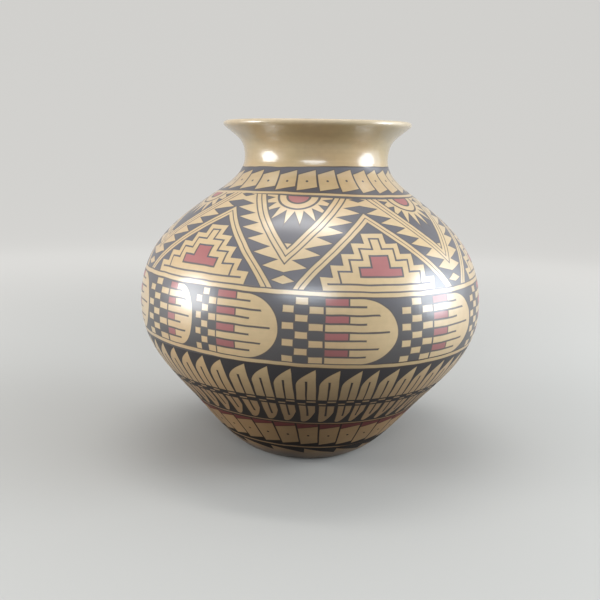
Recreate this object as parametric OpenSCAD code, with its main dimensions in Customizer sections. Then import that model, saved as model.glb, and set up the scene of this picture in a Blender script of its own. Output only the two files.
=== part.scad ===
// Pottery olla, coil built: a pressed base and rings of clay, each lapped on the course below.
// Millimetres, +Z up. The origin is the middle of the flat that the pot rests on.

/* [Base and lower wall] */
// Radius of the flat that the pot rests on
rest_r = 36; // [20:1:48]
// Height of the lower wall's straight point above the rest
lower_rise = 37; // [28:1:55]
// Outer radius at the lower wall's straight point
lower_r = 81.5; // [65:0.5:100]
// Lean of the wall there, outward from vertical, in degrees
lower_angle = 39.5; // [25:0.5:55]

/* [Belly and shoulder] */
// Height from the lower wall's straight point up to the widest ring
belly_rise = 73.5; // [50:0.5:110]
// Outer radius of the widest ring
belly_r = 125; // [105:1:160]
// Height from the widest ring up to the shoulder's turn, where full becomes hollow
shoulder_rise = 76; // [50:1:110]
// Outer radius at the shoulder's turn
shoulder_r = 78; // [65:0.5:95]
// Lean of the shoulder at its turn, inward from vertical, in degrees
shoulder_angle = 54; // [35:0.5:65]

/* [Neck and rim] */
// Height from the shoulder's turn up to the throat
throat_rise = 29.5; // [20:0.5:45]
// Outer radius of the throat, the narrowest ring
throat_r = 52.2; // [40:0.2:60]
// Height from the throat up to the outer edge of the lip
rim_rise = 22; // [12:0.2:35]
// Outer radius at the outer edge of the lip
rim_r = 67.2; // [60:0.2:80]
// Flare of the rim at its lip, outward from vertical, in degrees
rim_angle = 50; // [25:0.5:65]

/* [Fullness of the curves] */
// Pull of the base's round edge, in spans
base_pull_ratio = 0.27; // [0.22:0.01:0.42]
// Pull of the lower wall's curve, in spans
lower_pull_ratio = 0.36; // [0.25:0.01:0.45]
// Pull of the shoulder's curve, in spans
shoulder_pull_ratio = 0.41; // [0.28:0.01:0.48]
// Pull of the collar's hollow curve, in spans
collar_pull_ratio = 0.33; // [0.25:0.01:0.45]
// Pull of the rim's curve, in spans
rim_pull_ratio = 0.48; // [0.3:0.01:0.5]

/* [Clay] */
// Thickness of the base
base_t = 7; // [4:0.5:10]
// Thickness of the wall
wall_t = 5; // [3:0.5:8]
// Thickness of the lip
lip_t = 4; // [3:0.2:6]
// Distance along the wall by which a coil laps down inside the course below
lap = 5; // [2:0.5:7]

/* [Hidden] */
$fn = 128;

// Heights of the profile's feature rings
lower_z = lower_rise;
belly_z = lower_z + belly_rise;
shoulder_z = belly_z + shoulder_rise;
throat_z = shoulder_z + throat_rise;
rim_z = throat_z + rim_rise;

// The profile from the rest to the lip: ring places as [radius, height], and the lean and clay at each
ring = [[rest_r, 0], [lower_r, lower_z], [belly_r, belly_z],
        [shoulder_r, shoulder_z], [throat_r, throat_z], [rim_r, rim_z]];
lean_angle = [90, lower_angle, 0, -shoulder_angle, 0, rim_angle];
clay = [base_t, wall_t, wall_t, wall_t, wall_t, lip_t];
pull_ratio = [base_pull_ratio, lower_pull_ratio, shoulder_pull_ratio, collar_pull_ratio, rim_pull_ratio];
spans = len(pull_ratio);

// Where the coils meet on the outside, as a span's number and the share of it that lies below
joint_ratio = [0.58, 1.09, 1.4, 1.79, 2.04, 2.27, 2.54, 2.82, 3.24, 3.84, 4.46];

// Straight pieces drawn on each span and around the lip, and the shortest one, in pieces
span_steps = 10;
lip_steps = 8;
least_step_ratio = 0.3;

clay_buff = "#C4A878";
clay_shade = "#A98D66";
slip_mixed = "#7D6C58";
slip_dark = "#5C534D";

// A span's four control points
function towards(angle) = [sin(angle), cos(angle)];
function reach(s) = pull_ratio[s] * norm(ring[s + 1] - ring[s]);
function handle_up(s) = ring[s] + reach(s) * towards(lean_angle[s]);
function handle_down(s) = ring[s + 1] - reach(s) * towards(lean_angle[s + 1]);

// A station u on the profile is a span's number and the share of it that lies below
function span_of(u) = min(floor(u), spans - 1);
function share_of(u) = u - span_of(u);
function mix(a, b, t) = a * (1 - t) + b * t;

// Outer wall, its rate along the profile, its outward normal and the inner wall
function outer(u) =
    let (s = span_of(u), t = share_of(u), v = 1 - t)
    ring[s] * v * v * v + 3 * handle_up(s) * t * v * v + 3 * handle_down(s) * t * t * v + ring[s + 1] * t * t * t;
function rate(u) =
    let (s = span_of(u), t = share_of(u), v = 1 - t)
    3 * ((handle_up(s) - ring[s]) * v * v + 2 * (handle_down(s) - handle_up(s)) * t * v
         + (ring[s + 1] - handle_down(s)) * t * t);
function along(u) = rate(u) / norm(rate(u));
function outward(u) = [along(u).y, -along(u).x];
function clay_at(u) = mix(clay[span_of(u)], clay[span_of(u) + 1], share_of(u));
function inner(u) = outer(u) - clay_at(u) * outward(u);

// The joint that shows at station u reaches the inner wall lower down, by the lap
function joint_inside(u) = u - lap / norm(rate(u));

// Stations from one joint to the next, with no piece of the wall too short
function stations(a, b) =
    let (gap = least_step_ratio / span_steps)
    [a, for (k = [1 : spans * span_steps]) let (u = k / span_steps) if (u > a + gap && u < b - gap) u, b];
function backwards(list) = [for (k = [len(list) - 1 : -1 : 0]) list[k]];
function outer_wall(a, b) = [for (u = stations(a, b)) outer(u)];
function inner_wall(a, b) = backwards([for (u = stations(a, b)) inner(u)]);

// The round lip, from the outer wall over to the inner wall
function lip() =
    let (middle = (outer(spans) + inner(spans)) / 2)
    [for (k = [1 : lip_steps - 1]) let (turn = 180 * k / lip_steps)
        middle + lip_t / 2 * (outward(spans) * cos(turn) + along(spans) * sin(turn))];

// One course of clay between two joints
module course(k) {
    low = joint_ratio[k];
    high = joint_ratio[k + 1];
    rotate_extrude()
        polygon(concat(outer_wall(low, high), inner_wall(joint_inside(low), joint_inside(high))));
}

module base_disc() {
    top = joint_ratio[0];
    color(clay_shade) rotate_extrude()
        polygon(concat([[0, 0]], outer_wall(0, top), inner_wall(0, joint_inside(top)), [[0, base_t]]));
}

module foot_coil() { color(clay_shade) course(0); }

module lower_wall_coil_1() { color(slip_mixed) course(1); }

module lower_wall_coil_2() { color(slip_mixed) course(2); }

module belly_coil_1() { color(slip_dark) course(3); }

module belly_coil_2() { color(slip_dark) course(4); }

module shoulder_coil_1() { color(slip_mixed) course(5); }

module shoulder_coil_2() { color(slip_mixed) course(6); }

module shoulder_coil_3() { color(slip_mixed) course(7); }

module collar_coil() { color(clay_buff) course(8); }

module neck_coil() { color(clay_buff) course(9); }

module rim_coil() {
    low = joint_ratio[len(joint_ratio) - 1];
    color(clay_buff) rotate_extrude()
        polygon(concat(outer_wall(low, spans), lip(), inner_wall(joint_inside(low), spans)));
}

base_disc();
foot_coil();
lower_wall_coil_1();
lower_wall_coil_2();
belly_coil_1();
belly_coil_2();
shoulder_coil_1();
shoulder_coil_2();
shoulder_coil_3();
collar_coil();
neck_coil();
rim_coil();
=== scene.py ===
import itertools
import math

import bpy
import numpy as np
from mathutils import Matrix, Vector


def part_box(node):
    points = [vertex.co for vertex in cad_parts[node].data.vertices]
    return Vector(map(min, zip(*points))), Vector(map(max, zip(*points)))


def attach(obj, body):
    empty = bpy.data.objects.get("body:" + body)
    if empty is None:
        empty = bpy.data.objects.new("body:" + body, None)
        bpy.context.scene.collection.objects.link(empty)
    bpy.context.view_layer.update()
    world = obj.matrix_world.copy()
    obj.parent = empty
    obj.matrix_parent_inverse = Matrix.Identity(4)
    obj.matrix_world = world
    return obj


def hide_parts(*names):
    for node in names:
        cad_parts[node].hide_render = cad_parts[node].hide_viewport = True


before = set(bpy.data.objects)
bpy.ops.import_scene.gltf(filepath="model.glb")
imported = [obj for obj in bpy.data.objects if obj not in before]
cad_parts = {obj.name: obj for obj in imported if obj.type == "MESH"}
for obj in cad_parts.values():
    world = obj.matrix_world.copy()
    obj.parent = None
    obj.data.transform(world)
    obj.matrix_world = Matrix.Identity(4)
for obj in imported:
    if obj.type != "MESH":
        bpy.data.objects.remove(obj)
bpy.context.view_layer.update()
scene = bpy.context.scene
scene.view_settings.view_transform = "Standard"
mm = 0.001
print("frame loaded:", len(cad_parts), "courses of clay")


# One socket of a node tree. Arithmetic on it adds Math nodes.
class Wire:
    def __init__(self, tree, socket=None):
        self.tree = tree
        self.socket = socket

    def node(self, kind, settings=None, sockets=None, out=0):
        made = self.tree.nodes.new(kind)
        for name, value in (settings or {}).items():
            setattr(made, name, value)
        for name, value in (sockets or {}).items():
            if isinstance(value, Wire):
                self.tree.links.new(value.socket, made.inputs[name])
            else:
                made.inputs[name].default_value = value
        return Wire(self.tree, made.outputs[out] if made.outputs else None)

    def other(self, out):  # another output of the same node
        return Wire(self.tree, self.socket.node.outputs[out])

    def math(self, operation, *values):
        return self.node("ShaderNodeMath", {"operation": operation}, dict(enumerate((self, *values))))

    def __add__(self, value):
        return self.math("ADD", value)

    def __sub__(self, value):
        return self.math("SUBTRACT", value)

    def __mul__(self, value):
        return self.math("MULTIPLY", value)

    def __truediv__(self, value):
        return self.math("DIVIDE", value)

    def __rsub__(self, value):
        return self.node("ShaderNodeMath", {"operation": "SUBTRACT"}, {0: value, 1: self})

    def __rtruediv__(self, value):
        return self.node("ShaderNodeMath", {"operation": "DIVIDE"}, {0: value, 1: self})

    __radd__ = __add__
    __rmul__ = __mul__

    def __neg__(self):
        return self * -1

    def __abs__(self):
        return self.math("ABSOLUTE")

    def lesser(self, value):
        return self.math("MINIMUM", value)

    def greater(self, value):
        return self.math("MAXIMUM", value)

    def fract(self):
        return self.math("FRACT")

    def fold(self, value):  # up and down between 0 and value
        return self.math("PINGPONG", value)

    def eased(self, low, high, start=0.0, end=1.0):
        ends = {"Value": self, "From Min": low, "From Max": high, "To Min": start, "To Max": end}
        return self.node("ShaderNodeMapRange", {"interpolation_type": "SMOOTHSTEP"}, ends)


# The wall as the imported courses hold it: one line from the axis under the base, up the outside,
# over the lip and down the inside, with each joint's two ends on it.
wallReading = {
    "decimals": 6,  # of a metre, to which a point is read
    "seamReach": 2e-6,  # how far off the plane y = 0 a seam's point may lie
    "onLine": 2e-6,  # a point this close to a lap lies on it
    "straight": 1e-9,  # a bend this slight is a point added on a straight run
    "flatShare": 0.98,  # keeps the flat level right to its edge
}


def seamEdges(node):
    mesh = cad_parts[node].data
    spots = [tuple(round(c, wallReading["decimals"]) for c in v.co) for v in mesh.vertices]
    edges = set()
    for edge in mesh.edges:
        a, b = (spots[i] for i in edge.vertices)
        if max(abs(a[1]), abs(b[1])) < wallReading["seamReach"] and min(a[0], b[0]) > 0:
            edges.add(frozenset([(a[0], a[2]), (b[0], b[2])]))
    return edges


def detour(a, p, b):
    return math.dist(a, p) + math.dist(p, b) - math.dist(a, b)


courseNodes = sorted(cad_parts, key=lambda n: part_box(n)[1].z)
seams = [seamEdges(n) for n in courseNodes]
laps = []
for lower, upper in zip(seams, seams[1:]):
    common = set().union(*lower) & set().union(*upper)
    laps.append(max(itertools.combinations(common, 2), key=lambda ends: math.dist(*ends)))


def isLap(edge):
    near = wallReading["onLine"]
    return any(all(detour(a, p, b) < near for p in edge) for a, b in laps)


nextTo = {}
for edge in set().union(*seams):
    if not isLap(edge):
        for here, there in itertools.permutations(edge):
            nextTo.setdefault(here, []).append(there)

wallLine = [min(nextTo, key=lambda p: (p[1], p[0]))]  # starts at the edge of the flat
while ahead := [p for p in nextTo[wallLine[-1]] if p not in wallLine[-2:]]:
    wallLine.append(ahead[0])

lapEnds = {p for lap in laps for p in lap}
bends = [
    p for a, p, b in zip(wallLine, wallLine[1:], wallLine[2:])
    if p in lapEnds or detour(a, p, b) > wallReading["straight"]
]
restRadius = wallLine[0][0]
floorHeight = wallLine[-1][1]  # top of the base inside
flatEdge = restRadius * wallReading["flatShare"]
wallLine = [(0.0, 0.0), (flatEdge, 0.0), wallLine[0], *bends, wallLine[-1]]
wallLine += [(flatEdge, floorHeight), (0.0, floorHeight)]

wallPoints = np.array(wallLine)
steps = np.hypot(*np.diff(wallPoints, axis=0).T)
wallLengths = np.concatenate([[0.0], np.cumsum(steps)])
wallSlopes = np.gradient(wallPoints, wallLengths, axis=0)
potHeight = wallPoints[:, 1].max()


def wallAt(length):  # radius and height at a length along the wall, on a smooth curve
    k = int(np.clip(np.searchsorted(wallLengths, length, side="right") - 1, 0, len(wallLengths) - 2))
    gap = wallLengths[k + 1] - wallLengths[k]
    t = (length - wallLengths[k]) / gap
    start = wallPoints[k] * (1 + 2 * t) + wallSlopes[k] * t * gap
    end = wallPoints[k + 1] * (3 - 2 * t) - wallSlopes[k + 1] * (1 - t) * gap
    return start * (1 - t) ** 2 + end * t ** 2


# Each joint as its length on the outside and its length on the inside
joints = [sorted(wallLengths[wallLine.index(p)] for p in lap) for lap in laps]
print("wall read:", len(wallLine), "points,", len(joints), "joints, height", round(potHeight / mm, 1), "mm")


# Colours of the clay and the slips, as seen, turned to Blender's linear values
def seen(red, green, blue):
    def linear(c):
        c = c / 255
        return c / 12.92 if c <= 0.04045 else ((c + 0.055) / 1.055) ** 2.4

    return (linear(red), linear(green), linear(blue), 1.0)


def mixed(share, first, second):
    return share.node("ShaderNodeMix", {"data_type": "RGBA"}, {0: share, 6: first, 7: second}, 2)


def shaded(colour, shade):  # a colour made lighter or darker
    return shade.node("ShaderNodeVectorMath", {"operation": "SCALE"}, {"Vector": colour, "Scale": shade})


def noise(place, scale, detail=2.0):
    return place.node("ShaderNodeTexNoise", sockets={"Vector": place, "Scale": scale, "Detail": detail})


def stretchedNoise(place, scales, detail):
    stretched = place.node("ShaderNodeMapping", sockets={"Vector": place, "Scale": scales})
    return noise(stretched, 1.0, detail)


def bumped(height, strength, depth):
    sockets = {"Height": height, "Strength": strength, "Distance": depth}
    return height.node("ShaderNodeBump", sockets=sockets)


def heightShare(place):  # how far up the pot a point lies, from 0 to 1
    return place.node("ShaderNodeSeparateXYZ", sockets={0: place}).other("Z") / potHeight


def bareMaterial(name):  # a material with nothing in its tree
    material = bpy.data.materials.new(name)
    material.use_nodes = True
    material.node_tree.nodes.clear()
    return material


def finish(material, sockets):
    start = Wire(material.node_tree)
    shader = start.node("ShaderNodeBsdfPrincipled", sockets=sockets)
    start.node("ShaderNodeOutputMaterial", sockets={"Surface": shader})


# The seven ruled rings that part the painted bands. Each follows a joint, and strays from it by hand,
# in mm: all round, and as one wave and two waves around the pot.
ruledRings = {
    "base": {"joint": 0, "lift": -0.1, "tilt": -0.4, "wave": -1.8, "crest": 0.3},
    "foot": {"joint": 1, "lift": 0.6, "tilt": 0.0, "wave": -1.8, "crest": 0.2},
    "belt": {"joint": 2, "lift": -0.9, "tilt": -0.2, "wave": -1.7, "crest": 0.0},
    "bellyLow": {"joint": 3, "lift": -0.1, "tilt": -0.8, "wave": -1.9, "crest": -0.4},
    "bellyHigh": {"joint": 5, "lift": -0.7, "tilt": 0.0, "wave": -1.8, "crest": -0.15},
    "collar": {"joint": 8, "lift": -0.95, "tilt": 1.3, "wave": -1.6, "crest": 1.25},
    "neck": {"joint": 9, "lift": 0.2, "tilt": 0.8, "wave": 0.4, "crest": 0.0},
}

brush = {
    "soft": 0.34,  # width of a stroke's soft edge, mm
    "shakeScale": 62.0,
    "shakeAround": 0.6,  # degrees
    "shakeUp": 1.2,  # mm
}


# Where a point lies on the painted wall: degrees around from the front, millimetres up the wall
class PaintedWall:
    def __init__(self, tree):
        start = Wire(tree)
        spot = start.node("ShaderNodeUVMap", {"uv_map": "wallMap"})
        place = start.node("ShaderNodeTexCoord", out="Object")
        wallSpot = start.node("ShaderNodeSeparateXYZ", sockets={0: spot})
        shake = noise(place, brush["shakeScale"], detail=1.0).other("Color")
        shakes = start.node("ShaderNodeSeparateColor", sockets={0: shake})
        self.start = start
        self.place = place
        self.around = (wallSpot - 0.5) * 360 + (shakes - 0.5) * brush["shakeAround"]
        self.up = wallSpot.other("Y") / mm + (shakes.other("Green") - 0.5) * brush["shakeUp"]
        angle = self.around * math.radians(1)
        self.sways = {
            "tilt": angle.math("SINE"),
            "wave": (angle * 2).math("SINE"),
            "crest": (angle * 2).math("COSINE"),
        }

    def above(self, name):
        ring = ruledRings[name]
        line = joints[ring["joint"]][0] / mm + ring["lift"]
        for sway, wire in self.sways.items():
            line = wire * ring[sway] + line
        return self.up - line

    def counted(self, stops):  # motifs counted around the pot, spaced as the stops say
        count = stops[0][1]
        for (start, low), (end, high) in zip(stops, stops[1:]):
            ends = {"Value": self.around, "From Min": start, "From Max": end, "To Max": high - low}
            count = self.start.node("ShaderNodeMapRange", sockets=ends) + count
        return count


# Shapes as distances in millimetres, below zero inside
def joined(*shapes):
    whole = shapes[0]
    for shape in shapes[1:]:
        whole = whole.lesser(shape)
    return whole


def shared(*shapes):
    whole = shapes[0]
    for shape in shapes[1:]:
        whole = whole.greater(shape)
    return whole


def between(value, low, high):
    return (low - value).greater(value - high)


def bar(value, middle, half):
    return abs(value - middle) - half


def span(x, y):
    return (x * x + y * y).math("SQRT")


def inked(shape, soft):  # 1 inside the shape and 0 outside, with a soft edge
    clamped = {"operation": "MULTIPLY_ADD", "use_clamp": True}
    return shape.node("ShaderNodeMath", clamped, {0: shape, 1: -1 / soft, 2: 0.5})


# Collar: a ring of slanted tiles, each with a dot, on black, with a ruled line below
collarBand = {
    # degrees around, and the tiles counted so far
    "spacing": ((-180, -14.43), (-51, -4), (-38.5, -3), (-24.3, -2), (-11.7, -1), (1.4, 0), (14.4, 1),
                (26.7, 2), (38.3, 3), (49.3, 4), (180, 14.57)),
    "tileWidth": 13.4,
    "tileShare": 0.45,
    "lean": 0.0075,  # tiles per millimetre of height
    "bottom": 3.6,
    "bottomRise": 4.3,
    "top": -6.3,
    "topRise": 3.9,
    "dotHeight": -11.6,
    "dotRadius": 0.85,
    "line": (-0.5, 1.7),
}


def paintCollar(wall):
    b = collarBand
    up = wall.above("collar")
    under = wall.above("neck")
    across = (wall.counted(b["spacing"]) + (under - b["dotHeight"]) * b["lean"]).fract()
    sides = bar(across, 0.5, b["tileShare"]) * b["tileWidth"]
    bottom = across * b["bottomRise"] + b["bottom"] - up
    top = under - (across * b["topRise"] + b["top"])
    dot = span((across - 0.5) * b["tileWidth"], under - b["dotHeight"]) - b["dotRadius"]
    tiles = shared(sides, bottom, top, -dot)
    return joined(tiles, between(up, *b["line"])), None


def paintNeck(wall):
    return -wall.above("neck"), None


# Belly: twelve rounded hands with fingers, each behind a small checker
bellyBand = {
    "handWidth": 64.4,
    # degrees around, and the hands counted so far, at each checker's start, palm and hand's end
    "spacing": ((-180, -4.98), (-61.1, -1.036), (-60, -0.96), (-47, -0.592), (-36.1, -0.036), (-34.6, 0.04),
                (-27.1, 0.408), (-8.7, 0.964), (-7.5, 1.04), (4.4, 1.408), (25.6, 1.964), (27.1, 2.04),
                (38.9, 2.408), (59.1, 2.964), (60.3, 3.04), (180, 7.02)),
    "rows": 8,
    "rowHeight": 5.25,
    "lowEdge": 1.65,
    "highEdge": 1.5,
    "rowGap": 0.6,
    "checkers": ((5.6, 3.0), (13.1, 3.4), (21.2, 3.8)),  # middle and half width of each column
    "palm": 26.3,
    "redEnd": 37.2,
    "redLine": 0.8,
    "roundFrom": 43.0,
    "roundShare": 0.93,
    "roundRadius": 20.5,
    "finger": 0.62,
    "shortFinger": 46.3,
    "longFinger": 58.0,
    "fingerTaper": 0.5,
    "lowLine": (-0.9, 1.5),
    "highLine": (-0.75, 1.75),
}


def paintBelly(wall):
    b = bellyBand
    low = wall.above("bellyLow")
    high = wall.above("bellyHigh")
    tall = b["rows"] * b["rowHeight"]
    middle = tall / 2
    y = (low - b["lowEdge"]) / (low - high - b["lowEdge"] - b["highEdge"]) * tall
    x = wall.counted(b["spacing"]).fract() * b["handWidth"]
    evenRow = (y - b["rowHeight"] / 2).fold(b["rowHeight"]) - b["rowHeight"] / 2
    oddRow = -evenRow
    first, second, third = (bar(x, *column) for column in b["checkers"])
    sideColumns = shared(joined(first, third), evenRow + b["rowGap"])
    checker = joined(sideColumns, shared(second, oddRow + b["rowGap"]))
    fromMiddle = abs(y - middle)
    roundEnd = (x - b["roundFrom"]).greater(0) / b["roundShare"]
    hand = shared(b["palm"] - x, span(roundEnd, fromMiddle) - b["roundRadius"])
    nearEven = y.fold(b["rowHeight"]).math("LESS_THAN", b["rowHeight"] / 2)
    longer = b["longFinger"] - b["shortFinger"] - fromMiddle * b["fingerTaper"]
    reach = nearEven * longer + b["shortFinger"]
    fingers = shared(y.fold(b["rowHeight"] / 2) - b["finger"], x - reach)
    redPart = shared(hand, oddRow + b["finger"], x - b["redEnd"])
    palmLine = shared(oddRow, x - b["redEnd"] - b["redLine"])
    clay = shared(joined(checker, shared(hand, -fingers, -palmLine)), -y, y - tall)
    lines = joined(between(low, *b["lowLine"]), between(high, *b["highLine"]))
    return joined(clay, lines), redPart


# Feathers: two rings of quilled feathers, tips up above the belt and tips down below it
featherBand = {
    # degrees around, and the feathers counted so far
    "spacing": ((-180, -27.15), (-46.1, -7), (-39.4, -6), (-33.3, -5), (-26.6, -4), (-18.9, -3),
                (-11.8, -2), (-5, -1), (2.2, 0), (9.4, 1), (16.1, 2), (21.6, 3), (28.4, 4), (34.9, 5),
                (41.2, 6), (48, 7), (180, 26.85)),
    "lean": 0.0047,  # feathers per millimetre of height
    "upperWidth": 13.4,
    "upperLeft": 0.83,
    "upperDraw": 0.047,  # how fast the left side leans in, mm per mm
    "upperRight": 13.0,
    "upperBase": 3.1,
    "upperShoulder": -16.2,
    "upperTip": 13.2,
    "upperRound": 1.7,
    "upperBow": 0.57,
    "upperQuill": (7.6, 0.72),
    "upperQuillTop": -12.5,
    "lowerWidth": 11.4,
    "lowerSides": (1.6, 10.5),
    "lowerBase": -4.0,
    "lowerTip": 2.2,
    "tipAcross": 3.0,
    "tipBow": (0.22, 0.42),  # how fast the lower edge rises to the right and to the left of the tip
    "lowerQuill": (5.9, 0.7),
    "lowerQuillTop": 9.6,
    "quillTaper": -0.01,
    "quillLean": 0.035,
    "highDash": (0.2, 1.6),
    "lowDash": (-2.3, -1.1),
    "dashEnds": 0.4,
    "footLine": 0.5,
}


def paintFeathers(wall):
    b = featherBand
    onBelt = wall.above("belt")
    underBelly = wall.above("bellyLow")
    onFoot = wall.above("foot")
    across = (wall.counted(b["spacing"]) + underBelly * b["lean"]).fract()
    x = across * b["upperWidth"]
    rounded = (x - b["upperRound"]).greater(0) / (b["upperRight"] - b["upperRound"])
    tip = underBelly - (rounded.math("POWER", b["upperBow"]) * b["upperTip"] + b["upperShoulder"])
    sides = shared(onBelt * b["upperDraw"] + b["upperLeft"] - x, x - b["upperRight"])
    onQuill = underBelly - b["upperQuillTop"]
    taper = onQuill * b["quillTaper"]
    quill = shared(bar(x - onQuill * b["quillLean"], *b["upperQuill"]) + taper, onQuill)
    upper = shared(sides, tip, -quill, b["upperBase"] - onBelt)
    x = across * b["lowerWidth"]
    fromTip = x - b["tipAcross"]
    right, left = b["tipBow"]
    bow = fromTip.math("SIGN") * ((right - left) / 2) + (right + left) / 2
    tip = fromTip * fromTip * bow + b["lowerTip"] - onFoot
    taper = (b["lowerQuillTop"] - onFoot) * b["quillTaper"]
    quill = shared(bar(x, *b["lowerQuill"]) + taper, b["lowerQuillTop"] - onFoot)
    sides = between(x, *b["lowerSides"])
    lower = shared(sides, tip, -quill, onBelt - b["lowerBase"])
    half = (across - 0.5) * b["lowerWidth"]
    highDash = shared(between(onBelt, *b["highDash"]), b["dashEnds"] - half)
    lowDash = shared(between(onBelt, *b["lowDash"]), half + b["dashEnds"])
    dashes = shared(joined(highDash, lowDash), sides - b["dashEnds"])
    return joined(upper, lower, dashes, bar(onFoot, 0, b["footLine"])), None


def paintLowBellyLine(wall):
    return between(wall.above("bellyLow"), *bellyBand["lowLine"]), None


def paintHighBellyLine(wall):
    return between(wall.above("bellyHigh"), *bellyBand["highLine"]), None


# Foot: slanted tiles with red wedges above and black wedges below, then a ring of long teeth
footBand = {
    "tiles": 35,
    "turn": -4.7,
    "lean": 0.0066,  # tiles per millimetre of height
    "tileWidth": 13.6,
    "sideLine": 0.6,
    "bottom": 5.2,
    "bottomRise": 3.6,
    "top": -8.1,
    "topRise": 3.6,
    "wedgeGap": 0.5,
    "wedgeEnd": -1.4,
    "dotHeight": 18.0,
    "dotRadius": 0.9,
    "footLine": 0.5,
    "baseLine": (0.6, 2.1),
    "teeth": 17,
    "toothTurn": -0.2,
    "toothThin": 1.8,
    "toothRise": 7.0,
}


def paintFoot(wall):
    b = footBand
    onBase = wall.above("base")
    underFoot = wall.above("foot")
    across = ((wall.around - b["turn"]) * (b["tiles"] / 360) + underFoot * b["lean"]).fract()
    sides = bar(across, 0.5, 0.5) * b["tileWidth"] + b["sideLine"]
    bottom = across * b["bottomRise"] + b["bottom"] - onBase
    top = across * b["topRise"] + b["top"]
    dot = span((across - 0.5) * b["tileWidth"], onBase - b["dotHeight"]) - b["dotRadius"]
    tiles = shared(sides, bottom, underFoot - top, -dot)
    redPart = shared(sides, top + b["wedgeGap"] - underFoot, underFoot - b["wedgeEnd"])
    return joined(tiles, bar(underFoot, 0, b["footLine"]), between(onBase, *b["baseLine"])), redPart


def paintTeeth(wall):
    b = footBand
    onBase = wall.above("base")
    across = ((wall.around - b["toothTurn"]) * (b["teeth"] / 360)).fract()
    return onBase + across * b["toothRise"] + b["toothThin"], None


# Shoulder: a zigzag ribbon between doubled lines, with stepped terraces below it and half suns above
shoulderBand = {
    "repeats": 6,
    "turn": -8.0,
    "low": 2.6,
    "tall": 73.0,
    "lowWidth": 2.12,  # millimetres to a degree at the bottom, and what it loses per millimetre up
    "widthLoss": 0.0124,
    "armStart": -1.0,
    "armReach": 32.0,
    "armBow": 1.15,
    "armSlant": 0.82,
    "ribbon": 6.3,
    "lines": ((8.3, 1.15), (11.3, 1.15)),  # middle and half width of each ruled line
    "toothPitch": 9.0,
    "toothDepth": 5.2,
    "toothSlant": 0.6,  # millimetres square to a tooth's side, for each across the ribbon
    "fieldGap": 1.0,
    "stepHeight": 8.0,
    "stepWidth": 8.0,
    "terraceHalf": 47.0,
    "terraceLow": 0.2,
    "terraceBands": ((0.0, 3.4), (4.6, 8.4)),  # how far each buff band lies inside the terrace's edge
    "terraceCore": 9.6,
    "terraceSteps": 5,
    "sunCore": 6.5,
    "sunRing": (8.0, 12.2),
    "rays": 20.0,  # degrees to a ray
    "rayFrom": 13.8,
    "rayTip": 27.0,
    "raySlope": 0.22,
    "tipBar": (27.0, 30.0),
    "tipGap": 0.9,
}


def paintShoulder(wall):
    b = shoulderBand
    y = wall.above("bellyHigh") - b["low"]
    share = (y / b["tall"]).greater(0)
    half = 180 / b["repeats"]
    fromDip = (wall.around - b["turn"]).fold(half)
    width = b["lowWidth"] - y * b["widthLoss"]
    arm = share.math("POWER", b["armBow"]) * b["armReach"] + b["armStart"]
    off = (fromDip - arm) * width * b["armSlant"]
    away = abs(off)
    lines = joined(*(bar(away, *line) for line in b["lines"]))
    zigzag = y.fold(b["toothPitch"] / 2) * (4 * b["toothDepth"] / b["toothPitch"]) - b["toothDepth"]
    teeth = shared(away - b["ribbon"], (off - zigzag) * b["toothSlant"])
    edge = sum(b["lines"][-1]) + b["fieldGap"]
    inPeak = edge - off  # the fields on the two sides of the ribbon
    inDip = off + edge
    fromPeak = (half - fromDip) * width
    stepped = y - b["terraceLow"]

    def terrace(inset):  # a stepped pile about the peak's middle, drawn in by the inset
        rise = ((stepped + inset) / b["stepHeight"]).math("FLOOR") + 1
        side = fromPeak - (b["terraceHalf"] - inset - rise * b["stepWidth"])
        return shared(side, inset - stepped)

    under = stepped - b["terraceSteps"] * b["stepHeight"]
    terraces = joined(*(shared(terrace(low), -terrace(high), under) for low, high in b["terraceBands"]))
    redCore = shared(terrace(b["terraceCore"]), under)
    fromTop = b["tall"] - y
    x = fromDip * width
    out = span(x, fromTop)
    bearing = x.math("ARCTAN2", fromTop) * math.degrees(1)
    spread = abs((bearing / b["rays"]).fract() - 0.5) * b["rays"] * out * math.radians(1)
    rays = shared(spread - (b["rayTip"] - out) * b["raySlope"], b["rayFrom"] - out)
    sun = shared(joined(between(out, *b["sunRing"]), rays), inDip)
    tipBar = shared(between(y, *b["tipBar"]), inDip)
    clay = joined(lines, teeth, terraces, sun, tipBar)
    tipField = shared(inDip + b["tipGap"], y - b["tipBar"][0] + b["tipGap"])
    redPart = joined(shared(redCore, inPeak), out - b["sunCore"], tipField)
    inBand = shared(-y, y - b["tall"])
    return shared(clay, inBand), shared(redPart, inBand)


def paintCollarLine(wall):
    return between(wall.above("collar"), *collarBand["line"]), None


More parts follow.
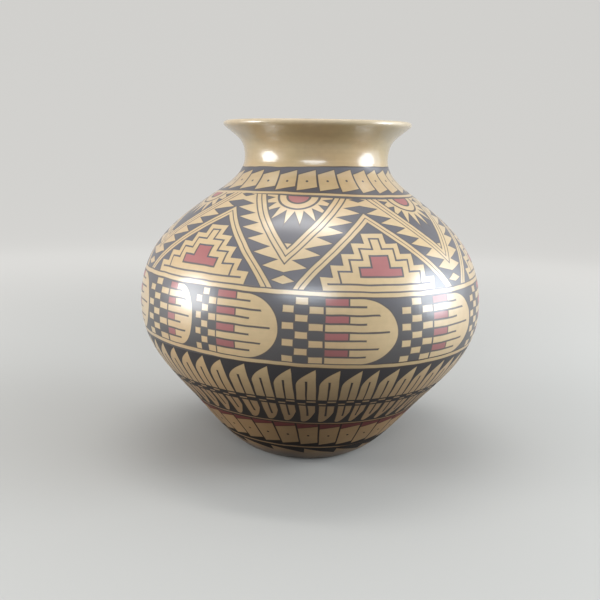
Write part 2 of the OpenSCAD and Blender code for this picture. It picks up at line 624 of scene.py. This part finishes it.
# Burnished clay: the ground colour, with slips brushed on where a piece has painted bands. The buff and the
# black slip are darker towards the base as painted shade; the black slip and the lip are lighter higher up
# as painted sheen and painted light. A turn gives the two shares of the pot's height between which one
# finish gives way to the next.
clayFinish = {
    # the two lowest buffs darken the clay towards the base: painted shade of the underside
    "shadedBuffBase": seen(112, 96, 84),
    "buffLow": seen(156, 123, 84),
    "buffLowTurn": (0.03, 0.07),
    "buffBelly": seen(210, 181, 134),
    "buffBellyTurn": (0.19, 0.44),
    "buffHigh": seen(170, 152, 112),
    "buffHighTurn": (0.8, 0.98),
    # the lip made paler than the neck: painted light from above
    "buffLip": seen(212, 192, 158),
    "buffLipTurn": (0.976, 0.994),
    "blush": seen(206, 162, 112),
    "blushShare": 0.4,
    "blushScale": 16.0,
    "blushSpread": (0.42, 0.72),
    # the slip made near-black towards the base: painted shade
    "shadedBlackLow": seen(32, 24, 19),
    "black": seen(46, 41, 42),
    "blackTurn": (0.2, 0.34),
    # the slip made lighter and bluer high on the belly and shoulder: painted sheen
    "blackHigh": seen(74, 71, 78),
    "blackHighTurn": (0.46, 0.6),
    "thinBlack": seen(62, 47, 38),
    "thinDepth": 1.1,  # mm over which a stroke's edge is thin
    "redLow": seen(112, 60, 56),
    "red": seen(174, 97, 94),
    "redDeep": seen(150, 80, 78),
    "redTurn": (0.24, 0.54),
    "mottleScale": 220.0,
    "mottleShade": 0.2,
    "mottleRoughness": 0.06,
    "streakScale": (9.0, 9.0, 700.0),
    "streakShade": 0.12,
    "streakRoughness": 0.08,
    "roughness": 0.38,
    "slipRoughness": 0.52,
    "burnish": 0.9,  # the crisp gloss of the rubbed clay, which the slip over it dulls
    "lowBurnish": 0.1,
    "burnishTurn": (0.2, 0.5),
    "slipBurnish": 0.6,
    "lowSlipBurnish": 0.0,
    "slipBurnishTurn": (0.24, 0.46),
    "burnishRoughness": 0.15,
    "bellyBurnishRoughness": 0.2,
    "burnishIor": 1.6,
    "specular": 1.0,
    "neckSpecular": 0.5,
    "bellySpecular": 0.75,
    "lowSpecular": 0.2,
    "footSpecular": 0.08,
    "bump": 0.03,
    "bumpDepth": 0.4 * mm,
}


def slipColour(height, mottle, clay, reds):
    c = clayFinish
    depth = inked(-joined(clay, *reds), 2 * c["thinDepth"])
    # the black slip darkens towards the base as painted shade and lightens higher up as a painted sheen
    black = mixed(height.eased(*c["blackTurn"]), c["shadedBlackLow"], c["black"])
    black = mixed(height.eased(*c["blackHighTurn"]), black, c["blackHigh"])
    slip = mixed(depth * 2 - 1, c["thinBlack"], black)
    if reds:
        red = mixed(mottle, c["red"], c["redDeep"])
        red = mixed(height.eased(*c["redTurn"]), c["redLow"], red)
        slip = mixed(inked(joined(*reds), brush["soft"]), slip, red)
    return slip


def clayMaterial(name, bands, specular, burnishRoughness=clayFinish["burnishRoughness"]):
    material = bareMaterial(name)
    c = clayFinish
    wall = PaintedWall(material.node_tree)
    painted = [band(wall) for band in bands]
    reds = [red for clay, red in painted if red is not None]
    height = heightShare(wall.place)
    mottle = noise(wall.place, c["mottleScale"], detail=3.0)
    streak = stretchedNoise(wall.place, c["streakScale"], detail=3.0)
    blush = noise(wall.place, c["blushScale"]).eased(*c["blushSpread"], 0.0, c["blushShare"])
    # the buff darkens towards the base as painted shade and lightens at the lip as painted light
    buff = c["shadedBuffBase"]
    for zone in ("buffLow", "buffBelly", "buffHigh", "buffLip"):
        buff = mixed(height.eased(*c[zone + "Turn"]), buff, c[zone])
    buff = mixed(blush, buff, c["blush"])
    colour = buff
    smooth = c["roughness"]
    burnish = c["burnish"]
    if painted:
        clay = joined(*(clay for clay, red in painted))
        bare = inked(clay, brush["soft"])
        colour = mixed(bare, slipColour(height, mottle, clay, reds), buff)
        smooth = c["slipRoughness"] - bare * (c["slipRoughness"] - c["roughness"])
        rubbed = height.eased(*c["burnishTurn"], c["lowBurnish"], c["burnish"])
        dulled = height.eased(*c["slipBurnishTurn"], c["lowSlipBurnish"], c["slipBurnish"])
        burnish = bare * (rubbed - dulled) + dulled
    shade = (mottle - 0.5) * c["mottleShade"] + (streak - 0.5) * c["streakShade"] + 1
    finish(material, {
        "Base Color": shaded(colour, shade),
        "Roughness": (streak - 0.5) * c["streakRoughness"] + (mottle - 0.5) * c["mottleRoughness"] + smooth,
        "Normal": bumped(streak, c["bump"], c["bumpDepth"]),
        "Coat Weight": burnish,
        "Coat Roughness": burnishRoughness,
        "Coat IOR": c["burnishIor"],
        "Specular IOR Level": specular,
    })
    return material


# Inside: scraped clay, dull, with the scraper's level marks, burnished again near the lip
insideFinish = {
    "clay": seen(160, 132, 96),
    "deep": seen(132, 106, 76),
    "scrapeScale": (14.0, 14.0, 260.0),
    "scrapeSpread": (0.3, 0.7),
    "grainScale": 900.0,
    "grainShade": 0.3,
    "grainBump": 0.3,
    "burnishTurn": (0.8, 0.94),
    "roughness": 0.72,
    "bump": 0.35,
    "bumpDepth": 0.5 * mm,
}


def insideMaterial():
    material = bareMaterial("scrapedClay")
    c = insideFinish
    place = Wire(material.node_tree).node("ShaderNodeTexCoord", out="Object")
    scrape = stretchedNoise(place, c["scrapeScale"], detail=4.0)
    grain = noise(place, c["grainScale"])
    burnished = heightShare(place).eased(*c["burnishTurn"])
    clay = mixed(scrape.eased(*c["scrapeSpread"]), c["deep"], c["clay"])
    clay = mixed(burnished, clay, clayFinish["buffHigh"])
    finish(material, {
        "Base Color": shaded(clay, (grain - 0.5) * c["grainShade"] + 1),
        "Roughness": burnished * (clayFinish["roughness"] - c["roughness"]) + c["roughness"],
        "Normal": bumped(scrape + grain * c["grainBump"], c["bump"], c["bumpDepth"]),
    })
    return material


baseClay = clayMaterial("baseClay", [paintTeeth], clayFinish["footSpecular"])
footSlip = clayMaterial("footSlip", [paintFoot], clayFinish["footSpecular"])
featherSlip = clayMaterial("featherSlip", [paintFeathers, paintLowBellyLine], clayFinish["lowSpecular"])
bellyGloss = clayFinish["bellyBurnishRoughness"]
bellySlip = clayMaterial("bellySlip", [paintBelly], clayFinish["bellySpecular"], bellyGloss)
shoulderPaint = [paintHighBellyLine, paintShoulder, paintCollarLine]
shoulderSlip = clayMaterial("shoulderSlip", shoulderPaint, clayFinish["specular"], bellyGloss)
collarSlip = clayMaterial("collarSlip", [paintCollar, paintNeck], clayFinish["specular"])
neckClay = clayMaterial("neckClay", [paintNeck], clayFinish["neckSpecular"])
rimClay = clayMaterial("rimClay", [], clayFinish["neckSpecular"])
scrapedClay = insideMaterial()
print("clay and slips mixed:", len(bpy.data.materials), "materials")


# Geometry Nodes: a course of clay turned about the axis from its section, with a hand-built waver.
# These are the tree's inputs that all the courses share.
turning = {
    "Columns": 240,
    "Waver": 1.65 * mm,  # the whole swing of the wall in and out
    "Waver Scale": 1.375,
    "Waver Lift": 2.8 / potHeight,  # how fast the waver changes with height, beside around
    "Fade Radius": restRadius,  # the waver fades to none within it, at the axis
    "Rim Shift": 2.2 * mm,  # the neck and rim stand off the axis, to +X
    "Shift From": 0.6 * potHeight,
    "Shift To": 0.96 * potHeight,
    "Foot Shift": -1.1 * mm,  # and the foot a little to -X
    "Foot Top": 0.35 * potHeight,
    "Rim Tilt": 0.009,  # the lip rises to +X and to the back, and dips at front and back
    "Rim Nod": 0.009,
    "Rim Dip": 0.4 * mm,
    "Tilt From": 0.86 * potHeight,
    "Tilt To": 0.975 * potHeight,
    "Weld": 0.01 * mm,
    "Sharp Angle": 0.6,
}


def turnedCourse():
    tree = bpy.data.node_groups.new("turnedCourse", "GeometryNodeTree")

    def socket(name, kind, side="INPUT"):
        tree.interface.new_socket(name, in_out=side, socket_type="NodeSocket" + kind)

    socket("Section", "Geometry")
    for name, size in turning.items():
        socket(name, "Int" if isinstance(size, int) else "Float")
    socket("Inside From", "Float")
    socket("Outside", "Material")
    socket("Inside", "Material")
    socket("Course", "Geometry", "OUTPUT")
    start = Wire(tree)
    given = start.node("NodeGroupInput")
    rows = start.node("GeometryNodeAttributeDomainSize", {"component": "MESH"}, {0: given}, "Point Count")
    sheet = {"Vertices X": rows, "Vertices Y": given.other("Columns") + 1}
    grid = start.node("GeometryNodeMeshGrid", sockets=sheet)
    spot = start.node("ShaderNodeSeparateXYZ", sockets={0: grid.other("UV Map")})
    row = start.node("FunctionNodeFloatToInt", {"rounding_mode": "ROUND"}, {0: spot * (rows - 1)})
    position = start.node("GeometryNodeInputPosition")
    sampling = {"Geometry": given, "Value": position, "Index": row}
    onPoints = {"data_type": "FLOAT_VECTOR", "domain": "POINT"}
    section = start.node("GeometryNodeSampleIndex", onPoints, sampling)
    radius = start.node("ShaderNodeSeparateXYZ", sockets={0: section})
    length = radius.other("Y")
    height = radius.other("Z")
    turn = spot.other("Y")
    angle = (turn - 0.5) * math.tau
    sine = angle.math("SINE")
    cosine = angle.math("COSINE")
    ring = {"X": sine, "Y": cosine, "Z": height * given.other("Waver Lift")}
    ringSpot = start.node("ShaderNodeCombineXYZ", sockets=ring)
    shake = noise(ringSpot, given.other("Waver Scale")) - 0.5
    fade = (radius / given.other("Fade Radius")).lesser(1)
    outward = radius + shake * fade * given.other("Waver")
    shift = height.eased(given.other("Shift From"), given.other("Shift To")) * given.other("Rim Shift")
    shift = height.eased(0.0, given.other("Foot Top"), 1.0, 0.0) * given.other("Foot Shift") + shift
    x = outward * sine
    y = outward * cosine * -1
    lean = x * given.other("Rim Tilt") + y * given.other("Rim Nod")
    lean = lean - (angle * 2).math("COSINE") * given.other("Rim Dip")
    lift = height.eased(given.other("Tilt From"), given.other("Tilt To")) * lean
    place = {"X": x + shift, "Y": y, "Z": height + lift}
    placed = start.node("ShaderNodeCombineXYZ", sockets=place)
    course = start.node("GeometryNodeSetPosition", sockets={"Geometry": grid, "Position": placed})
    mapSpot = start.node("ShaderNodeCombineXYZ", sockets={"X": turn, "Y": length})
    onCorners = {"data_type": "FLOAT2", "domain": "CORNER"}
    mapping = {"Geometry": course, "Name": "wallMap", "Value": mapSpot}
    course = start.node("GeometryNodeStoreNamedAttribute", onCorners, mapping)
    facing = {"Geometry": course, "Material": given.other("Outside")}
    course = start.node("GeometryNodeSetMaterial", sockets=facing)
    lengths = {0: length, 1: given.other("Inside From")}
    inside = start.node("FunctionNodeCompare", {"operation": "GREATER_THAN"}, lengths)
    lining = {"Geometry": course, "Selection": inside, "Material": given.other("Inside")}
    course = start.node("GeometryNodeSetMaterial", sockets=lining)
    welding = {"Geometry": course, "Distance": given.other("Weld")}
    course = start.node("GeometryNodeMergeByDistance", sockets=welding)
    bend = start.node("GeometryNodeInputMeshEdgeAngle")
    corner = bend.math("GREATER_THAN", given.other("Sharp Angle"))
    creased = {"Geometry": course, "Selection": corner, "Shade Smooth": False}
    course = start.node("GeometryNodeSetShadeSmooth", {"domain": "EDGE"}, creased)
    course = start.node("GeometryNodeRealizeInstances", sockets={"Geometry": course})
    start.node("NodeGroupOutput", sockets={"Course": course})
    return tree


courseTree = turnedCourse()
thinRow = 0.05 * mm  # at each joint, so that the shading runs on over it
fewestRows = 2


def rowsAlong(start, end, step):
    count = max(fewestRows, math.ceil((end - start) / step))
    rows = list(np.linspace(start, end, count + 1))
    if start > 0:
        rows.insert(1, start + thinRow)
    if end < wallLengths[-1]:
        rows.insert(-1, end - thinRow)
    return rows


# The bake's own map: the wall cut into strips, stacked up the sheet, with the painted side largest
bakeSheet = {"margin": 0.006, "outside": 0.8, "inside": 0.12, "lap": 0.04, "cuts": (2, 3, 4, 5, 6, 8)}


def layBakeMap(mesh, runs, around):
    count = len(mesh.loops)
    spots = np.zeros(count * 2, np.float32)
    mesh.uv_layers["wallMap"].uv.foreach_get("vector", spots)
    turn, length = spots.reshape(-1, 2).T.astype(float)
    starts = np.zeros(len(mesh.polygons), np.int32)
    mesh.polygons.foreach_get("loop_start", starts)
    totals = np.diff(np.append(starts, count))
    faceTurn = np.repeat(np.add.reduceat(turn, starts) / totals, totals)
    faceLength = np.repeat(np.add.reduceat(length, starts) / totals, totals)
    whole = sum(bakeSheet[kind] for kind, low, high in runs)
    laid = np.zeros((count, 2))
    bottom = 0.0
    margin = bakeSheet["margin"]
    for kind, low, high in runs:
        tall = bakeSheet[kind] / whole
        cuts = 1
        if kind == "outside":  # as many strips as bring its parts nearest to square
            square = math.sqrt(tall * around / (high - low))
            cuts = min(bakeSheet["cuts"], key=lambda n: abs(math.log(n / square)))
        mine = (faceLength > low) & (faceLength < high)
        strip = np.floor(faceTurn * cuts)
        u = turn * cuts - strip
        v = (length - low) / (high - low)
        laid[mine, 0] = margin + u[mine] * (1 - 2 * margin)
        stripTall = tall / cuts
        laid[mine, 1] = bottom + strip[mine] * stripTall + margin + v[mine] * (stripTall - 2 * margin)
        bottom += tall
    layer = mesh.uv_layers.new(name="OFBake")
    layer.uv.foreach_set("vector", laid.astype(np.float32).ravel())


# A course's section, as points of radius, length along the wall and height, and the runs of wall in it
def courseSection(piece):
    number = courseNodes.index(piece["node"])
    below = joints[number - 1] if number else None
    above = joints[number] if number < len(joints) else None
    outsideStart = below[0] if below else 0.0
    insideEnd = below[1] if below else wallLengths[-1]
    outsideEnd = above[0] if above else insideEnd
    lengths = rowsAlong(outsideStart, outsideEnd, piece["outerRow"])
    runs = [("outside", outsideStart, outsideEnd)]
    if above:
        lengths += rowsAlong(above[1], insideEnd, piece["innerRow"])
        runs += [("lap", *above), ("inside", above[1], insideEnd)]
    section = [(wallAt(s)[0], s, wallAt(s)[1]) for s in lengths]
    if below:
        lapEnd = insideEnd + math.dist(wallAt(outsideStart), wallAt(insideEnd))
        section.append((section[0][0], lapEnd, section[0][2]))
        runs.append(("lap", insideEnd, lapEnd))
    return section, runs


def makeCourse(name, piece):
    section, runs = courseSection(piece)
    outsideEnd = runs[0][2]
    sectionMesh = bpy.data.meshes.new(name + "Section")
    sectionMesh.from_pydata(section, [], [])
    course = bpy.data.objects.new(name, sectionMesh)
    scene.collection.objects.link(course)
    modifier = course.modifiers.new("turned", "NODES")
    modifier.node_group = courseTree
    given = {
        **turning,
        "Inside From": outsideEnd + thinRow / 2,
        "Outside": piece["outside"],
        "Inside": scrapedClay,
    }
    for item in courseTree.interface.items_tree:
        if item.name in given:
            modifier[item.identifier] = given[item.name]
    ready = course.evaluated_get(bpy.context.evaluated_depsgraph_get())
    mesh = bpy.data.meshes.new_from_object(ready)
    course.modifiers.clear()
    course.data = mesh
    mesh.name = name
    layBakeMap(mesh, runs, math.tau * max(point[0] for point in section))
    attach(course, "root")
    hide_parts(piece["node"])
    print(name, "turned:", len(mesh.polygons), "faces")
    return course


baseDisc = {
    "node": "base_disc", "slot": "buff_clay", "outside": baseClay,
    "outerRow": 2 * mm, "innerRow": 3 * mm,
}
makeCourse("baseDisc", baseDisc)

footCoil = {
    "node": "foot_coil", "slot": "painted_clay", "outside": footSlip,
    "outerRow": 2 * mm, "innerRow": 3 * mm,
}
makeCourse("footCoil", footCoil)

lowerWallCoil1 = {
    "node": "lower_wall_coil_1", "slot": "painted_clay", "outside": featherSlip,
    "outerRow": 2 * mm, "innerRow": 3 * mm,
}
makeCourse("lowerWallCoil1", lowerWallCoil1)

lowerWallCoil2 = {
    "node": "lower_wall_coil_2", "slot": "painted_clay", "outside": featherSlip,
    "outerRow": 2 * mm, "innerRow": 3 * mm,
}
makeCourse("lowerWallCoil2", lowerWallCoil2)

bellyCoil1 = {
    "node": "belly_coil_1", "slot": "painted_clay", "outside": bellySlip,
    "outerRow": 2 * mm, "innerRow": 3 * mm,
}
makeCourse("bellyCoil1", bellyCoil1)

bellyCoil2 = {
    "node": "belly_coil_2", "slot": "painted_clay", "outside": bellySlip,
    "outerRow": 2 * mm, "innerRow": 3 * mm,
}
makeCourse("bellyCoil2", bellyCoil2)

shoulderCoil1 = {
    "node": "shoulder_coil_1", "slot": "painted_clay", "outside": shoulderSlip,
    "outerRow": 2 * mm, "innerRow": 3 * mm,
}
makeCourse("shoulderCoil1", shoulderCoil1)

shoulderCoil2 = {
    "node": "shoulder_coil_2", "slot": "painted_clay", "outside": shoulderSlip,
    "outerRow": 2 * mm, "innerRow": 3 * mm,
}
makeCourse("shoulderCoil2", shoulderCoil2)

shoulderCoil3 = {
    "node": "shoulder_coil_3", "slot": "painted_clay", "outside": shoulderSlip,
    "outerRow": 2 * mm, "innerRow": 3 * mm,
}
makeCourse("shoulderCoil3", shoulderCoil3)

collarCoil = {
    "node": "collar_coil", "slot": "painted_clay", "outside": collarSlip,
    "outerRow": 1.5 * mm, "innerRow": 2 * mm,
}
makeCourse("collarCoil", collarCoil)

neckCoil = {
    "node": "neck_coil", "slot": "buff_clay", "outside": neckClay,
    "outerRow": 1.5 * mm, "innerRow": 2 * mm,
}
makeCourse("neckCoil", neckCoil)

rimCoil = {
    "node": "rim_coil", "slot": "buff_clay", "outside": rimClay,
    "outerRow": 0.8 * mm, "innerRow": 2 * mm,
}
makeCourse("rimCoil", rimCoil)


# Studio: a pale floor that curves up all round, and soft boxes: one on the left and one on the right, each
# with a fill beside it, one overhead with a narrow strip, and a wide one in front
coolLight = (0.86, 0.93, 1.0)
paleLight = (0.94, 0.97, 1.0)
plainLight = (1.0, 1.0, 1.0)
studio = {
    "floorRadius": 1.5,
    "wallRadius": 3.0,
    "wallHeight": 3.2,
    "columns": 96,
    "arcSteps": 24,
    "floorColour": seen(186, 184, 179),
    "floorRoughness": 0.9,
    "bounceColour": seen(38, 37, 35),
    "backColour": seen(207, 206, 203),  # the far floor and the backdrop, lit evenly
    "backGlow": (0.1, 1.3),
    "backFade": (0.3, 1.6),
    "worldColour": seen(235, 237, 240),
    "worldStrength": 0.98,
    "aim": (0.0, 0.0, 0.125),
    # degrees around from the front and up, metres away and across, and watts
    "boxes": {
        "leftBox": {
            "bearing": -77, "rise": 9, "away": 1.1,
            "size": (0.58, 0.5), "power": 7.1, "tint": paleLight,
        },
        "leftFill": {
            "bearing": -80, "rise": 3, "away": 1.2,
            "size": (0.9, 0.32), "power": 2.2, "tint": plainLight,
        },
        "rightBox": {
            "bearing": 84, "rise": 12, "away": 1.1,
            "size": (0.68, 0.66), "power": 10.6, "tint": coolLight,
        },
        "rightFill": {
            "bearing": 99, "rise": 14, "away": 1.3,
            "size": (1.1, 1.1), "power": 4.2, "tint": coolLight,
        },
        "overheadBox": {
            "bearing": -30, "rise": 85, "away": 1.6,
            "size": (2.0, 1.6), "power": 3.0, "tint": plainLight,
        },
        "stripBox": {
            "bearing": -102, "rise": 87.4, "away": 1.0,
            "size": (0.11, 0.7), "power": 2.1, "tint": plainLight,
        },
        "frontBox": {
            "bearing": -2, "rise": 23, "away": 1.4,
            "size": (0.8, 0.36), "power": 7.2, "tint": coolLight,
        },
    },
}


def floorMaterial():
    material = bareMaterial("paleFloor")
    s = studio
    start = Wire(material.node_tree)
    path = start.node("ShaderNodeLightPath")
    looked = path.other("Is Camera Ray").greater(path.other("Is Glossy Ray"))
    looked = looked.greater(path.other("Is Transmission Ray"))
    place = start.node("ShaderNodeTexCoord", out="Object")
    outward = start.node("ShaderNodeVectorMath", {"operation": "LENGTH"}, {0: place}, "Value")
    glow = outward.eased(*s["backGlow"]) * looked
    faded = outward.eased(*s["backFade"]) * looked
    black = seen(0, 0, 0)
    near = mixed(looked, s["bounceColour"], s["floorColour"])
    finish(material, {
        "Base Color": mixed(faded, near, black),
        "Roughness": s["floorRoughness"],
        "Emission Color": mixed(glow, black, s["backColour"]),
        "Emission Strength": 1.0,
    })
    return material


def sweptFloor():
    s = studio
    corner = s["wallRadius"] - s["floorRadius"]
    outline = [(0.0, 0.0)]
    for k in range(s["arcSteps"] + 1):
        bend = math.pi / 2 * k / s["arcSteps"]
        outline.append((s["floorRadius"] + corner * math.sin(bend), corner * (1 - math.cos(bend))))
    outline.append((s["wallRadius"], s["wallHeight"]))
    n = s["columns"]
    verts = []
    for r, z in outline:
        for k in range(n):
            a = math.tau * k / n
            verts.append((r * math.cos(a), r * math.sin(a), z))
    faces = []
    for row in range(len(outline) - 1):
        for k in range(n):
            after = (k + 1) % n
            faces.append((row * n + k, row * n + after, (row + 1) * n + after, (row + 1) * n + k))
    mesh = bpy.data.meshes.new("studioFloor")
    mesh.from_pydata(verts, [], [f if f[0] >= n else (0, f[2], f[3]) for f in faces])
    mesh.shade_smooth()
    mesh.materials.append(floorMaterial())
    floor = bpy.data.objects.new("studioFloor", mesh)
    scene.collection.objects.link(floor)


def softBox(name, box):
    bearing = math.radians(box["bearing"])
    rise = math.radians(box["rise"])
    light = bpy.data.lights.new(name, "AREA")
    light.shape = "ELLIPSE"
    light.size, light.size_y = box["size"]
    light.energy = box["power"]
    light.color = box["tint"]
    lamp = bpy.data.objects.new(name, light)
    scene.collection.objects.link(lamp)
    level = box["away"] * math.cos(rise)
    aim = np.array(studio["aim"])
    spot = aim + (level * math.sin(bearing), -level * math.cos(bearing), box["away"] * math.sin(rise))
    lamp.location = spot
    lamp.rotation_mode = "QUATERNION"
    lamp.rotation_quaternion = (Vector(spot) - Vector(aim)).to_track_quat("Z", "Y")


sweptFloor()
for boxName, box in studio["boxes"].items():
    softBox(boxName, box)
world = bpy.data.worlds.new("studioAir")
scene.world = world
world.use_nodes = True
world.node_tree.nodes["Background"].inputs["Color"].default_value = studio["worldColour"]
world.node_tree.nodes["Background"].inputs["Strength"].default_value = studio["worldStrength"]
print("studio lit:", len(studio["boxes"]), "soft boxes")


# Camera: at the height of the neck, looking a little down, for a square picture
view = {
    "place": (0.0, -0.560, 0.2116),
    "focalShare": 751 / 600,  # focal length over the picture's side
    "pitch": 10.255,
    "roll": 1.348,
    "pan": -0.761,
    "sensor": 36.0,
}


def placeCamera():
    pitch, roll, pan = (math.radians(view[k]) for k in ("pitch", "roll", "pan"))
    level = np.array((math.sin(pan), math.cos(pan), 0))
    side = np.array((math.cos(pan), -math.sin(pan), 0))
    up = np.array((0, 0, 1))
    forward = level * math.cos(pitch) - up * math.sin(pitch)
    upright = level * math.sin(pitch) + up * math.cos(pitch)
    right = side * math.cos(roll) + upright * math.sin(roll)
    top = upright * math.cos(roll) - side * math.sin(roll)
    camera = bpy.data.objects.new("camera", bpy.data.cameras.new("camera"))
    scene.collection.objects.link(camera)
    camera.data.sensor_width = view["sensor"]
    camera.data.lens = view["sensor"] * view["focalShare"]
    axes = np.column_stack((right, top, -forward))
    matrix = Matrix(axes.tolist()).to_4x4()
    matrix.translation = view["place"]
    camera.matrix_world = matrix
    scene.camera = camera


placeCamera()
